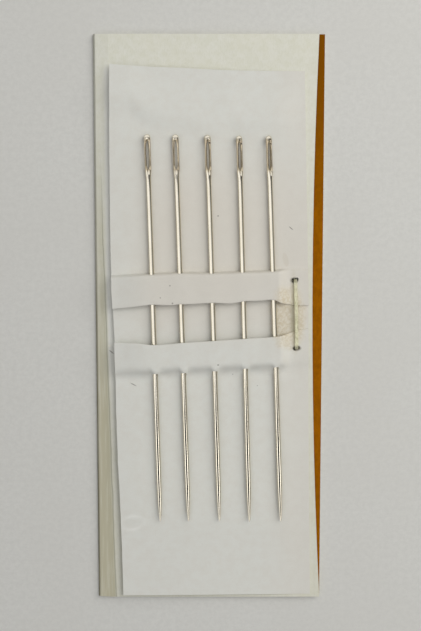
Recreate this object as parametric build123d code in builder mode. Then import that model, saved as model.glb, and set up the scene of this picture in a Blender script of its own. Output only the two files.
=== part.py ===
from build123d import *
import os
from math import asin, atan2, cos, degrees, hypot, radians, sin

# A folded card of yarn needles, in millimetres. X runs across the card, Y along the needles towards
# their eyes, Z up out of the card. The origin is under the middle of the card.
card_length = 102.2
card_thickness = 0.4
corner_cut = 0.03  # how far a scored fold's mitre stands back from a tight corner
overrun = 1.0  # how far a cutting shape passes the face it cuts

# The paper leaf that holds the needles, glued on the carrier
leaf_thickness = 0.12
leaf_left_room = 7.75  # from the first needle to the leaf's upper left corner
leaf_right_room = 5.13  # from the last needle to the leaf's upper right corner
leaf_foot_taper = 0.1  # how much narrower the leaf is at its foot
leaf_head_gap = 5.5  # from the card's end to the leaf's upper left corner
leaf_head_fall = 0.9  # how much lower the upper right corner is cut
leaf_foot_gap = 0.15
leaf_left_margin = 0.1  # from the crease to the leaf's upper left corner
leaf_lift = 0.8  # how far the leaf's free left side stands up from the carrier
leaf_foot_shift = 1.9  # how far the foot of the leaf lies to the right of its head
leaf_side_bow = 0.5  # how far the long cut sides bow to the left or right of a straight line
leaf_corner_radius = 0.8

# Two pleats across the leaf, each pressed flat towards the other and pierced near its root
row_turn = 1.82  # degrees that the needles and the pleats lie turned on the card
pleat_root = 9.1  # from the middle of the row to the root of a pleat
pleat_crest = 3.42  # from the middle of the row to the folded edge of a pleat
pleat_rise_run = 0.35  # length of the steep slope that the needles pierce
pleat_gap = 0.06  # between the two walls of a pleat
pleat_press = 0.03  # under a pleat where it lies flat on the leaf
pleat_side_room = 0.5  # past the outer needles before a pleat sinks
pleat_left_ease = 6.2  # length over which a pleat sinks flat towards the free side
pleat_right_ease = 1.8  # the same towards the staple

# The needles
needle_count = 5
needle_length = 70.0
needle_diameter = 0.9
point_length = 7.6
point_tip = 0.03  # radius that is left at the very tip
point_shares = [(0.15, 0.56), (0.5, 0.88)]  # of the point's length, and of the shaft's radius
head_width = 1.25
head_thickness = 0.84
neck_length = 2.2
eye_length = 5.2
eye_width = 0.68
eye_end_wall = 1.0  # metal left above the eye
gutter_length = 1.3
gutter_width = 0.36
gutter_depth = 0.2
needle_pitch = 5.45
needle_place_shares = [-1.967, -1.037, 0.0, 1.016, 2.020]  # of the pitch, from the middle needle
needle_slip_shares = [-0.0157, -0.0181, -0.0218, -0.0261, -0.0285]  # of the needle's length
needle_lean = [-0.14, 0.0, 0.0, -0.10, 0.32]  # degrees, from the row's turn
needle_roll = [-18.0, 3.0, -26.0, -28.0, -34.0]  # degrees about the needle's own axis
needle_rest_clearance = 0.03
pierce_clearance = 0.03
pleat_clearance = 0.05

# The wire staple
staple_crown = 12.8
staple_leg = 6.0
staple_wire_width = 0.6
staple_wire_height = 0.4
staple_bend = 0.35
staple_room = 1.03  # from where the leaf is glued down to the wire's middle
staple_shift = 1.54
staple_turn = 1.3
staple_seat = 0.02
staple_hole_clearance = 0.03
staple_press = 0.22  # how deep the clinched ends are pressed into the back of the carrier
staple_floor_clearance = 0.06

# The carrier's free edge is cut in a shallow curve, and the cover shows beside it
card_right_room = 3.56  # from the leaf's upper right corner to the cover's free edge
carrier_head_step = 1.05
carrier_waist_step = 1.75
carrier_foot_step = 0.05
carrier_waist_shift = 4.0
closed_clearance = 0.12

# Heights in the stack, from the table up
cover_top = card_thickness
carrier_bottom = cover_top + staple_floor_clearance + staple_wire_height + staple_seat - staple_press
carrier_top = carrier_bottom + card_thickness
raised_lift = head_width / 2 + needle_rest_clearance + needle_diameter / 2 + pleat_clearance
pleat_stack = 2 * leaf_thickness + pleat_gap
pressed_top = carrier_top + leaf_thickness + pleat_press + pleat_stack

# Places across the row, from its middle needle: where the pleats stand up, and where the leaf is glued
first_needle = needle_place_shares[0] * needle_pitch
last_needle = needle_place_shares[-1] * needle_pitch
raised_left = first_needle - needle_diameter / 2 - pleat_side_room
raised_right = last_needle + needle_diameter / 2 + pleat_side_room
glued_left = raised_right + pleat_right_ease
leaf_slope = leaf_lift / (glued_left - first_needle + leaf_left_room)
leaf_head_width = last_needle - first_needle + leaf_left_room + leaf_right_room
leaf_foot_width = leaf_head_width - leaf_foot_taper


def leaf_base(across):
    """The height of the leaf's underside: glued to the carrier at the right, and rising to the left."""
    return carrier_top + max(0, glued_left - across) * leaf_slope


raised_top = leaf_base(raised_left) + leaf_thickness + raised_lift + pleat_stack

# The narrow spine slopes from the carrier's top down to the cover's upper face. It is just wide enough
# for the cover to close over the raised pleats.
spine_width = raised_top - carrier_top + closed_clearance + card_thickness
spine_drop = carrier_top - cover_top
spine_slope = degrees(asin(spine_drop / hypot(spine_width, card_thickness)) - atan2(card_thickness, spine_width))
spine_reach = spine_width * cos(radians(spine_slope)) - card_thickness * sin(radians(spine_slope))

# The card is as wide as the spine, the leaf and the margins beside the leaf
cover_width = spine_reach + leaf_left_margin + leaf_head_width + card_right_room
cover_left = -cover_width / 2
cover_right = cover_width / 2
crease_x = cover_left + spine_reach
leaf_left = crease_x + leaf_left_margin
row_shift = leaf_left + leaf_left_room - first_needle
card_head = card_length / 2
card_foot = -card_length / 2


def turned(angle):
    """The two directions of a plane lying flat and turned by an angle: across, and along."""
    a = radians(angle)
    return Vector(cos(a), sin(a), 0), Vector(-sin(a), cos(a), 0)


row_across, row_along = turned(row_turn)
row_middle = Vector(row_shift, 0, 0)


# Cover: a flat panel, its folded end mitred, lying under the carrier with its printed face up
with BuildPart() as cover_panel:
    with BuildSketch(Plane.XZ.offset(-card_head)):
        with BuildLine():
            Polyline(
                (cover_left, cover_top),
                (cover_right, cover_top),
                (cover_right, 0),
                (cover_left + card_thickness + corner_cut, 0),
                close=True,
            )
        make_face()
    extrude(amount=card_length)

# Spine: its upper face runs from the crease at the carrier down to the left, its lower face ends on
# the cover's upper face, and both ends are mitred so that it folds
spine_down = Vector(-cos(radians(spine_slope)), -sin(radians(spine_slope)))
spine_under = Vector(sin(radians(spine_slope)), -cos(radians(spine_slope))) * card_thickness
crease = Vector(crease_x, carrier_top)
crease_relief = card_thickness * sin(radians(spine_slope)) + corner_cut
with BuildPart() as spine_strip:
    with BuildSketch(Plane.XZ.offset(-card_head)):
        with BuildLine():
            Polyline(
                crease,
                crease + spine_down * (spine_width - card_thickness - corner_cut),
                crease + spine_down * spine_width + spine_under,
                crease + spine_down * crease_relief + spine_under,
                close=True,
            )
        make_face()
    extrude(amount=card_length)

# Staple: where its wire stands, used for its own bends and for the slits it makes
carrier_waist = cover_right - carrier_waist_step
staple_across, staple_along = turned(staple_turn)
staple_middle = Vector(row_shift + glued_left + staple_room, staple_shift, 0)
crown_centre = pressed_top + staple_seat + staple_wire_height / 2
clinch_centre = carrier_bottom + staple_press - staple_seat - staple_wire_height / 2
leg_reach = staple_crown / 2 - staple_wire_height / 2
clinch_length = staple_leg - (crown_centre - clinch_centre)
staple_plane = Plane(origin=staple_middle, x_dir=staple_along, z_dir=staple_across)
slit_plane = Plane(origin=staple_middle + Vector(0, 0, clinch_centre), x_dir=staple_across, z_dir=(0, 0, 1))
with BuildPart() as staple:
    with BuildLine(staple_plane) as wire:
        FilletPolyline(
            (leg_reach - clinch_length, clinch_centre),
            (leg_reach, clinch_centre),
            (leg_reach, crown_centre),
            (-leg_reach, crown_centre),
            (-leg_reach, clinch_centre),
            (clinch_length - leg_reach, clinch_centre),
            radius=staple_bend,
        )
    with BuildSketch(Plane(origin=wire.line @ 0, x_dir=staple_across, z_dir=wire.line % 0)):
        RectangleRounded(staple_wire_width, staple_wire_height, staple_wire_height / 4)
    sweep()


# The two slits that the staple's legs stand in, cut through the leaf and the carrier
with BuildSketch(slit_plane) as staple_slits:
    with Locations((0, leg_reach), (0, -leg_reach)):
        Rectangle(
            staple_wire_width + 2 * staple_hole_clearance,
            staple_wire_height + 2 * staple_hole_clearance,
        )
slit_height = crown_centre - clinch_centre + overrun
groove_length = clinch_length + staple_wire_height + 2 * staple_hole_clearance
groove_middle = leg_reach + staple_wire_height / 2 + staple_hole_clearance - groove_length / 2

# Carrier: the panel that the leaf is glued to, with a shallow curve cut along its free edge, and the
# grooves that the clinched ends press into its back
with BuildPart() as carrier_panel:
    with BuildSketch(Plane.XY.offset(carrier_bottom)):
        with BuildLine():
            ThreePointArc(
                (cover_right - carrier_foot_step, card_foot),
                (carrier_waist, -carrier_waist_shift),
                (cover_right - carrier_head_step, card_head),
            )
            Polyline(
                (cover_right - carrier_head_step, card_head),
                (crease_x, card_head),
                (crease_x, card_foot),
                (cover_right - carrier_foot_step, card_foot),
            )
        make_face()
    extrude(amount=card_thickness)
    extrude(staple_slits.sketch, amount=slit_height, mode=Mode.SUBTRACT)
    with BuildSketch(slit_plane):
        with Locations((0, groove_middle), (0, -groove_middle)):
            Rectangle(staple_wire_width + 2 * staple_hole_clearance, groove_length)
    extrude(amount=staple_wire_height / 2 + staple_seat, mode=Mode.SUBTRACT)


def needle_height(k):
    """Needle k lies on the leaf, high enough for its head to clear the paper however it is rolled."""
    leaf = leaf_base(needle_place_shares[k] * needle_pitch) + leaf_thickness
    return leaf + head_width / 2 + needle_rest_clearance


def needle_axis(k):
    """Where needle k lies: its middle, and the directions across and along it."""
    across, along = turned(row_turn + needle_lean[k])
    middle = (
        row_middle
        + row_across * (needle_place_shares[k] * needle_pitch)
        + along * (needle_slip_shares[k] * needle_length)
        + Vector(0, 0, needle_height(k))
    )
    return middle, across, along


def beside(points, distance):
    """The points of a line that runs beside another at a distance, with its corners mitred."""
    normals = [(q - p).normalized().rotate(Axis.Z, 90) for p, q in zip(points, points[1:])]
    before = [normals[0]] + normals
    after = normals + [normals[-1]]
    return [p + (a + b) * (distance / (1 + a.dot(b))) for p, a, b in zip(points, before, after)]


# Half the height of the fold at a pleat's root
root_fold = (leaf_thickness + pleat_press / 2) / 2


def pleat(sheet, lift):
    """The middle line of the upper pleat, from its root to its crest and back under to the leaf."""
    lower = sheet + leaf_thickness + lift
    upper = lower + leaf_thickness + pleat_gap
    crest_fold = (upper - lower) / 2
    slope = atan2(upper - sheet, pleat_rise_run)
    wall_step = min(pleat_rise_run, 2 * (leaf_thickness + pleat_gap) / sin(slope))
    under = pleat_root - wall_step
    return [
        Vector(pleat_root, sheet),
        Vector(pleat_root - pleat_rise_run, upper),
        Vector(pleat_crest + crest_fold, upper),
        Vector(pleat_crest, lower + crest_fold),
        Vector(pleat_crest + crest_fold, lower),
        Vector(under - pleat_rise_run, lower),
        Vector(under - root_fold, sheet + 2 * root_fold),
        Vector(under, sheet + root_fold),
        Vector(under - root_fold, sheet),
    ]


def leaf_section(across, lift):
    """The leaf's cut edge at one place across the row, as a closed thin profile."""
    sheet = leaf_base(across) + leaf_thickness / 2
    upper_pleat = pleat(sheet, lift)
    lower_pleat = [Vector(-p.X, p.Y) for p in reversed(upper_pleat)]
    line = [Vector(card_length, sheet)] + upper_pleat + lower_pleat + [Vector(-card_length, sheet)]
    outline = beside(line, leaf_thickness / 2) + beside(line, -leaf_thickness / 2)[::-1]
    origin = row_middle + row_across * across
    with BuildSketch(Plane(origin=origin, x_dir=row_along, z_dir=row_across)) as section:
        with BuildLine():
            Polyline(*outline, close=True)
        make_face()
    return section.sketch


# Leaf: one sheet with two pleats that stand up over the needles and sink flat past them
leaf_places = [
    (-cover_width, pleat_press),
    (raised_left - pleat_left_ease, pleat_press),
    (raised_left, raised_lift),
    (raised_right, raised_lift),
    (glued_left, pleat_press),
    (cover_width, pleat_press),
]
leaf_head = card_head - leaf_head_gap
leaf_foot = card_foot + leaf_foot_gap
leaf_mid = (leaf_head + leaf_foot) / 2
with BuildPart() as needle_leaf:
    loft([leaf_section(*place) for place in leaf_places], ruled=True)
    with BuildSketch(Plane.XY.offset(carrier_top)):
        with BuildLine():
            ThreePointArc(
                (leaf_left, leaf_head),
                (leaf_left + leaf_foot_shift / 2 - leaf_side_bow, leaf_mid),
                (leaf_left + leaf_foot_shift, leaf_foot),
            )
            Line(
                (leaf_left + leaf_foot_shift, leaf_foot),
                (leaf_left + leaf_foot_shift + leaf_foot_width, leaf_foot),
            )
            ThreePointArc(
                (leaf_left + leaf_foot_shift + leaf_foot_width, leaf_foot),
                (leaf_left + (leaf_foot_shift + leaf_foot_width + leaf_head_width + leaf_side_bow) / 2, leaf_mid),
                (leaf_left + leaf_head_width, leaf_head - leaf_head_fall),
            )
            Line(
                (leaf_left + leaf_head_width, leaf_head - leaf_head_fall),
                (leaf_left, leaf_head),
            )
        face = make_face()
        fillet(face.vertices().group_by(Axis.Y)[-1], leaf_corner_radius)
    extrude(amount=raised_top - carrier_top, mode=Mode.INTERSECT)
    for k in range(needle_count):
        middle, across, along = needle_axis(k)
        for end in (1, -1):
            slope_foot = end * (pleat_root + overrun / 2) - needle_slip_shares[k] * needle_length
            start = middle + along * slope_foot
            with BuildSketch(Plane(origin=start, x_dir=across, z_dir=along * -end)):
                Circle(needle_diameter / 2 + pierce_clearance)
            extrude(amount=overrun + 2 * pleat_rise_run, mode=Mode.SUBTRACT)
    extrude(staple_slits.sketch, amount=slit_height, mode=Mode.SUBTRACT)

# Heights along a needle, from its middle
point_start = point_length - needle_length / 2
point_tip_slope = 4 * needle_diameter / point_length
head_end = needle_length / 2
head_dome = head_width / 2
eye_head = head_end - eye_end_wall
eye_foot = eye_head - eye_length
neck_start = eye_foot - neck_length
gutter_foot = eye_foot - gutter_length
gutter_head = eye_head + gutter_length / 3


def make_needle(k):
    """Needle k: a drawn wire with an ogive point and a flattened head with its eye and gutters."""
    middle, across, along = needle_axis(k)
    roll = radians(needle_roll[k])
    wide = across * cos(roll) + Vector(0, 0, sin(roll))
    flat = Vector(0, 0, cos(roll)) - across * sin(roll)
    front = Plane(origin=middle, x_dir=wide, z_dir=flat)
    side = Plane(origin=middle, x_dir=along, z_dir=wide)
    with BuildPart() as needle:
        with BuildSketch(front):
            with BuildLine():
                Line((0, -head_end), (point_tip, -head_end))
                Spline(
                    (point_tip, -head_end),
                    *[(r * needle_diameter / 2, y * point_length - head_end) for y, r in point_shares],
                    (needle_diameter / 2, point_start),
                    tangents=[(point_tip_slope, 1), (0, 1)],
                )
                Line((needle_diameter / 2, point_start), (needle_diameter / 2, neck_start))
                Spline(
                    (needle_diameter / 2, neck_start),
                    (head_width / 2, eye_foot + eye_length / 3),
                    tangents=[(0, 1), (0, 1)],
                )
                Line((head_width / 2, eye_foot + eye_length / 3), (head_width / 2, head_end - head_dome))
                CenterArc((0, head_end - head_dome), head_dome, 0, 90)
                Line((0, head_end), (0, -head_end))
            make_face()
        revolve(axis=Axis(middle, along))
        with BuildSketch(side):
            with BuildLine():
                Polyline(
                    (neck_start - overrun, head_width),
                    (neck_start - overrun, needle_diameter / 2 + needle_rest_clearance),
                    (gutter_foot, head_thickness / 2),
                    (head_end + overrun, head_thickness / 2),
                    (head_end + overrun, head_width),
                    close=True,
                )
            make_face()
            mirror(about=Plane.XZ)
        extrude(amount=head_width, both=True, mode=Mode.SUBTRACT)
        with BuildSketch(front):
            with Locations((0, (eye_foot + eye_head) / 2)):
                SlotOverall(eye_length, eye_width, rotation=90)
        extrude(amount=head_width, both=True, mode=Mode.SUBTRACT)
        with BuildSketch(side):
            with BuildLine():
                Polyline(
                    (gutter_foot, head_thickness / 2),
                    (eye_foot + eye_width / 2, head_thickness / 2 - gutter_depth),
                    (eye_head - eye_width / 2, head_thickness / 2 - gutter_depth),
                    (gutter_head, head_thickness / 2),
                    close=True,
                )
            make_face()
            mirror(about=Plane.XZ)
        extrude(amount=gutter_width / 2, both=True, mode=Mode.SUBTRACT)
    return needle


# Write each piece under its own name
pieces = {
    "cover_panel": cover_panel,
    "spine_strip": spine_strip,
    "carrier_panel": carrier_panel,
    "needle_leaf": needle_leaf,
    "staple": staple,
}
for k in range(needle_count):
    pieces[f"needle_{k + 1}"] = make_needle(k)

os.makedirs("parts", exist_ok=True)
for name, piece in pieces.items():
    piece.part.label = name
    export_step(piece.part, f"parts/{name}.step")
    print(name, len(piece.part.solids()), round(piece.part.volume, 3))

# What the joints need to know
print("crease at the carrier", round(crease_x, 4), round(carrier_top, 4))
print("crease at the cover", round(cover_left, 4), round(cover_top, 4))
print("spine slope", round(spine_slope, 3), "spine width", round(spine_width, 4))
print("raised pleat top", round(raised_top, 4))
for k in range(needle_count):
    middle, across, along = needle_axis(k)
    eye = middle + along * ((eye_foot + eye_head) / 2)
    print("needle", k + 1, "along", [round(c, 5) for c in along], "eye", [round(c, 4) for c in eye])
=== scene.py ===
from math import cos, pi, radians, sin

import bmesh
import bpy
import numpy as np
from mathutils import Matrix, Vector


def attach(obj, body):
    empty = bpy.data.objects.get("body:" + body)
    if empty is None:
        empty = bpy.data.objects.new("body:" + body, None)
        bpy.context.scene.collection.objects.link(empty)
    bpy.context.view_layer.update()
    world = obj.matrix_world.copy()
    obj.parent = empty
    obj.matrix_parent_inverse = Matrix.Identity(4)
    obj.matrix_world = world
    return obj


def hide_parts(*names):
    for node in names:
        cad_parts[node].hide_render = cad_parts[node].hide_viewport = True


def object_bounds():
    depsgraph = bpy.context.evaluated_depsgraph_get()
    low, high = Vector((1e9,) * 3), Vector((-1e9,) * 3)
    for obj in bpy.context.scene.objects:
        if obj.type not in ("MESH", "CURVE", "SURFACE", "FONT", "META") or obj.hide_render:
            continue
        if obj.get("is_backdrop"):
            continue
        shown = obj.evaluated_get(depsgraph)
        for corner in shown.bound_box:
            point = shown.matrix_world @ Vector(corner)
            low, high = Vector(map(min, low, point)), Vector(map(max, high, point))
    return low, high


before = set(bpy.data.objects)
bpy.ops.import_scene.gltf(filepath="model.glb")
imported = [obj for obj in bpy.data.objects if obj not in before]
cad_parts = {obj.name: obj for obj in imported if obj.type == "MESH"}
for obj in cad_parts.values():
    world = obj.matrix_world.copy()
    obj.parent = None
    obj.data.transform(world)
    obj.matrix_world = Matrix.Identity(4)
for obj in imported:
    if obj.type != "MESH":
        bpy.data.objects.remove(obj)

# A card of yarn needles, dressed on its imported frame. Sizes in this file are in millimetres and turn
# into metres where a mesh, a light or the camera is made. X runs across the card, Y along the needles
# towards their eyes, Z up out of the card.
mm = 0.001
weldDistance = 1e-7
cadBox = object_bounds()
scene = bpy.context.scene


# Small helpers


def linear(colour):
    # an sRGB hex colour as linear red, green, blue and alpha
    parts = [int(colour[i:i + 2], 16) / 255 for i in (1, 3, 5)]
    return tuple(c / 12.92 if c <= 0.04045 else ((c + 0.055) / 1.055) ** 2.4 for c in parts) + (1.0,)


def smooth(x):
    # 0 below 0, 1 above 1, and a smooth S between
    t = np.clip(x, 0.0, 1.0)
    return t * t * (3.0 - 2.0 * t)


def setInputs(tree, node, inputs):
    # links each socket and sets each plain value
    for key, value in inputs.items():
        if isinstance(value, bpy.types.NodeSocket):
            tree.links.new(value, node.inputs[key])
        else:
            node.inputs[key].default_value = value


def addNode(tree, kind, inputs=None, **settings):
    made = tree.nodes.new("ShaderNode" + kind)
    for key, value in settings.items():
        setattr(made, key, value)
    setInputs(tree, made, inputs or {})
    return made


def maths(tree, operation, first, second=0.0, third=0.0):
    return addNode(tree, "Math", {0: first, 1: second, 2: third}, operation=operation).outputs[0]


def times(tree, first, *others):
    # several values multiplied
    for other in others:
        first = maths(tree, "MULTIPLY", first, other)
    return first


def mixColour(tree, factor, first, second):
    return addNode(tree, "Mix", {0: factor, 6: first, 7: second}, data_type="RGBA").outputs[2]


def paint(tree, colour, tone, mask, amount=None):
    # the colour with a hex tone laid over it where the mask is 1, as strongly as amount says
    factor = mask if amount is None else times(tree, mask, amount)
    return mixColour(tree, factor, colour, linear(tone))


def remap(tree, value, low, high, toLow=0.0, toHigh=1.0, smoothly=True):
    kind = "SMOOTHSTEP" if smoothly else "LINEAR"
    inputs = {0: value, 1: low, 2: high, 3: toLow, 4: toHigh}
    return addNode(tree, "MapRange", inputs, interpolation_type=kind).outputs[0]


def noise(tree, place, size, detail=3.0, roughness=0.55, distortion=0.0):
    # a noise pattern whose largest grains are size millimetres across
    inputs = {"Vector": place, "Scale": 1 / (size * mm), "Detail": detail, "Roughness": roughness,
              "Distortion": distortion}
    return addNode(tree, "TexNoise", inputs).outputs[0]


def swing(tree, pattern, amount):
    # a noise pattern as a swing to both sides of zero, up to half the amount
    return times(tree, maths(tree, "SUBTRACT", pattern, 0.5), amount)


def stretched(tree, place, x, y, z):
    # the same place with its axes scaled, which stretches a pattern along the smallest
    return addNode(tree, "Mapping", {"Vector": place, "Scale": (x, y, z)}).outputs[0]


def ovalMask(tree, place, centre, radii, turn=0.0, edge=0.25, rough=None):
    # 1 inside an oval in the XY plane and 0 outside, with a soft edge that a noise may disturb
    moved = addNode(tree, "Mapping", {
        "Vector": place,
        "Location": (centre[0] * mm, centre[1] * mm, 0.0),
        "Rotation": (0.0, 0.0, radians(turn)),
        "Scale": (radii[0] * mm, radii[1] * mm, 1.0),
    }, vector_type="TEXTURE").outputs[0]
    flat = addNode(tree, "VectorMath", {0: moved, 1: (1.0, 1.0, 0.0)}, operation="MULTIPLY").outputs[0]
    distance = addNode(tree, "VectorMath", {0: flat}, operation="LENGTH").outputs[1]
    if rough is not None:
        distance = maths(tree, "ADD", distance, rough)
    return remap(tree, distance, 1.0 + edge, 1.0 - edge)


def bump(tree, height, strength, distance, normal=None):
    inputs = {"Height": height, "Strength": strength, "Distance": distance * mm}
    if normal is not None:
        inputs["Normal"] = normal
    return addNode(tree, "Bump", inputs).outputs[0]


def newMaterial(name):
    made = bpy.data.materials.new(name)
    made.use_nodes = True
    tree = made.node_tree
    shader = tree.nodes["Principled BSDF"]
    coords = addNode(tree, "TexCoord")
    return made, tree, shader, coords


def meshObject(name, vertices, faces, material, sharp=None):
    # vertices are millimetres; coinciding points are welded and all faces turn outwards
    mesh = bpy.data.meshes.new(name)
    mesh.from_pydata((np.asarray(vertices) * mm).tolist(), [], faces)
    work = bmesh.new()
    work.from_mesh(mesh)
    bmesh.ops.remove_doubles(work, verts=work.verts, dist=weldDistance)
    bmesh.ops.recalc_face_normals(work, faces=work.faces)
    work.to_mesh(mesh)
    work.free()
    mesh.shade_smooth()
    if sharp is not None:
        mesh.set_sharp_from_angle(angle=radians(sharp))
    obj = bpy.data.objects.new(name, mesh)
    scene.collection.objects.link(obj)
    mesh.materials.append(material)
    return obj


def gridFaces(rows, columns, start=0):
    # the quads of a grid of points numbered row by row
    corner = (np.arange(rows - 1)[:, None] * columns + np.arange(columns - 1)[None, :]).ravel() + start
    return np.stack([corner, corner + 1, corner + columns + 1, corner + columns], axis=1)


# Camera

cameraPlan = {"target": (0.27, 1.33, 1.4), "distance": 200.0, "tilt": 5.95, "lens": 42.22, "sensor": 24.0}
lens = bpy.data.cameras.new("camera")
lens.sensor_width = cameraPlan["sensor"]
lens.lens = cameraPlan["lens"]
lens.clip_start = 0.01
lens.clip_end = 20.0
camera = bpy.data.objects.new("camera", lens)
scene.collection.objects.link(camera)
tilt = radians(cameraPlan["tilt"])
camera.location = (
    cameraPlan["target"][0] * mm,
    (cameraPlan["target"][1] + cameraPlan["distance"] * sin(tilt)) * mm,
    (cameraPlan["target"][2] + cameraPlan["distance"] * cos(tilt)) * mm,
)
camera.rotation_euler = (-tilt, 0.0, 0.0)
scene.camera = camera
scene.view_settings.view_transform = "Standard"
print("camera placed")


# Materials


def leafPaper():
    # Thin uncoated white paper: fibre mottling, a faint warm tone, a stain under the staple, a few dark
    # specks and bits of lint, a dried drop near the foot and a scuff by the staple
    made, tree, shader, coords = newMaterial("leafPaper")
    place = coords.outputs["Object"]
    # Specks hold a place and a size; lint a place, half length, half width and turn; the band along the
    # wire and the painted shade of the staple's holes a place, half width, half length, strength and tone
    spots = {
        "dark": [(-6.96, 6.84, 0.12), (-8.69, 4.67, 0.1), (-6.52, 3.68, 0.14), (1.64, -7.45, 0.15),
                 (4.3, -9.35, 0.08), (8.76, -11.45, 0.08), (1.62, 19.2, 0.13)],
        "lint": [(-13.68, -11.15, 0.55, 0.07, -28.0), (14.68, 17.0, 0.45, 0.07, -40.0)],
        # the band under the wire comes first; the rest are painted shade in and around the staple's holes
        "wireBandAndHoleShade": [(15.35, 1.6, 0.62, 6.3, 0.5, "#c9c3a6"), (15.3, 7.7, 0.75, 0.5, 0.8, "#7d796a"),
                 (15.85, -4.6, 0.75, 0.45, 0.8, "#7d796a"), (15.1, 7.72, 0.24, 0.4, 0.97, "#23211a"),
                 (15.86, 7.92, 0.22, 0.26, 0.95, "#23211a"), (15.46, -4.68, 0.26, 0.32, 0.97, "#23211a"),
                 (16.2, -4.5, 0.2, 0.3, 0.85, "#3a372d")],
    }
    fibre = noise(tree, place, 0.16, 5.0, 0.7)
    cloud = noise(tree, place, 1.6, 4.0, 0.6)
    broad = noise(tree, place, 14.0, 2.0)
    # the warm tone lies in a broad band behind the needles and at the right
    acrossCard, alongCard = addNode(tree, "SeparateXYZ", {0: place}).outputs[:2]
    warm = times(
        tree,
        remap(tree, alongCard, 38.0 * mm, 20.0 * mm),
        remap(tree, alongCard, -6.0 * mm, 3.0 * mm),
        remap(tree, acrossCard, -17.0 * mm, -7.0 * mm, 0.2, 1.0),
    )
    warm = maths(tree, "MAXIMUM", warm, remap(tree, acrossCard, 8.0 * mm, 17.0 * mm, 0.0, 0.5))
    warm = times(tree, warm, remap(tree, broad, 0.2, 0.8, 0.75, 1.15))
    colour = mixColour(tree, warm, linear("#e2e3db"), linear("#dfdbd0"))
    colour = paint(tree, colour, "#d9d5ca", remap(tree, cloud, 0.3, 0.75, 0.0, 0.35))
    colour = paint(tree, colour, "#c6c2b6", remap(tree, fibre, 0.42, 0.62, 0.0, 0.10))
    ragged = swing(tree, noise(tree, place, 2.2, 4.0), 0.9)
    stain = ovalMask(tree, place, (14.3, 0.9), (2.9, 5.6), 1.0, 0.3, ragged)
    blotch = noise(tree, place, 0.5, 5.0, 0.65, 0.6)
    stainColour = mixColour(tree, remap(tree, blotch, 0.38, 0.62), linear("#e4ddcb"), linear("#d2c6aa"))
    colour = mixColour(tree, times(tree, stain, 0.8), colour, stainColour)
    # a grey-beige band under the wire and just left of it, and painted shade in and around the torn
    # holes beside its legs
    for x, y, wide, long, amount, tone in spots["wireBandAndHoleShade"]:
        mask = ovalMask(tree, place, (x, y), (wide, long), 1.4, 0.35, ragged)
        colour = paint(tree, colour, tone, mask, amount)
    for x, y, size in spots["dark"]:
        mask = ovalMask(tree, place, (x, y), (size, size), 0.0, 0.5)
        colour = paint(tree, colour, "#5e574e", mask, 0.6)
    for x, y, long, thin, turn in spots["lint"]:
        mask = ovalMask(tree, place, (x, y), (long, thin), turn, 0.5)
        colour = paint(tree, colour, "#55504a", mask, 0.75)
    # the dried drop, with a paler ring, and the scuff
    drop = ovalMask(tree, place, (-14.2, -36.8), (2.5, 1.35), 8.0, 0.3, ragged)
    dropCore = ovalMask(tree, place, (-14.4, -36.7), (1.1, 0.55), 8.0, 0.35)
    ring = maths(tree, "SUBTRACT", drop, ovalMask(tree, place, (-14.2, -36.8), (2.1, 1.0), 8.0, 0.3))
    scuff = ovalMask(tree, place, (13.75, 11.35), (0.5, 1.25), 12.0, 0.2)
    colour = paint(tree, colour, "#f6f6f0", ring, 0.4)
    colour = paint(tree, colour, "#d4d3c8", dropCore, 0.22)
    colour = paint(tree, colour, "#cfc8b8", scuff, 0.35)
    # fine grain all over, and wrinkles in the stain
    grain = bump(tree, maths(tree, "ADD", fibre, times(tree, cloud, 1.2)), 0.18, 0.03)
    setInputs(tree, shader, {
        "Base Color": colour,
        "Roughness": 0.82,
        "Specular IOR Level": 0.25,
        "Normal": bump(tree, times(tree, blotch, stain), 0.55, 0.12, grain),
    })
    return made


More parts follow.
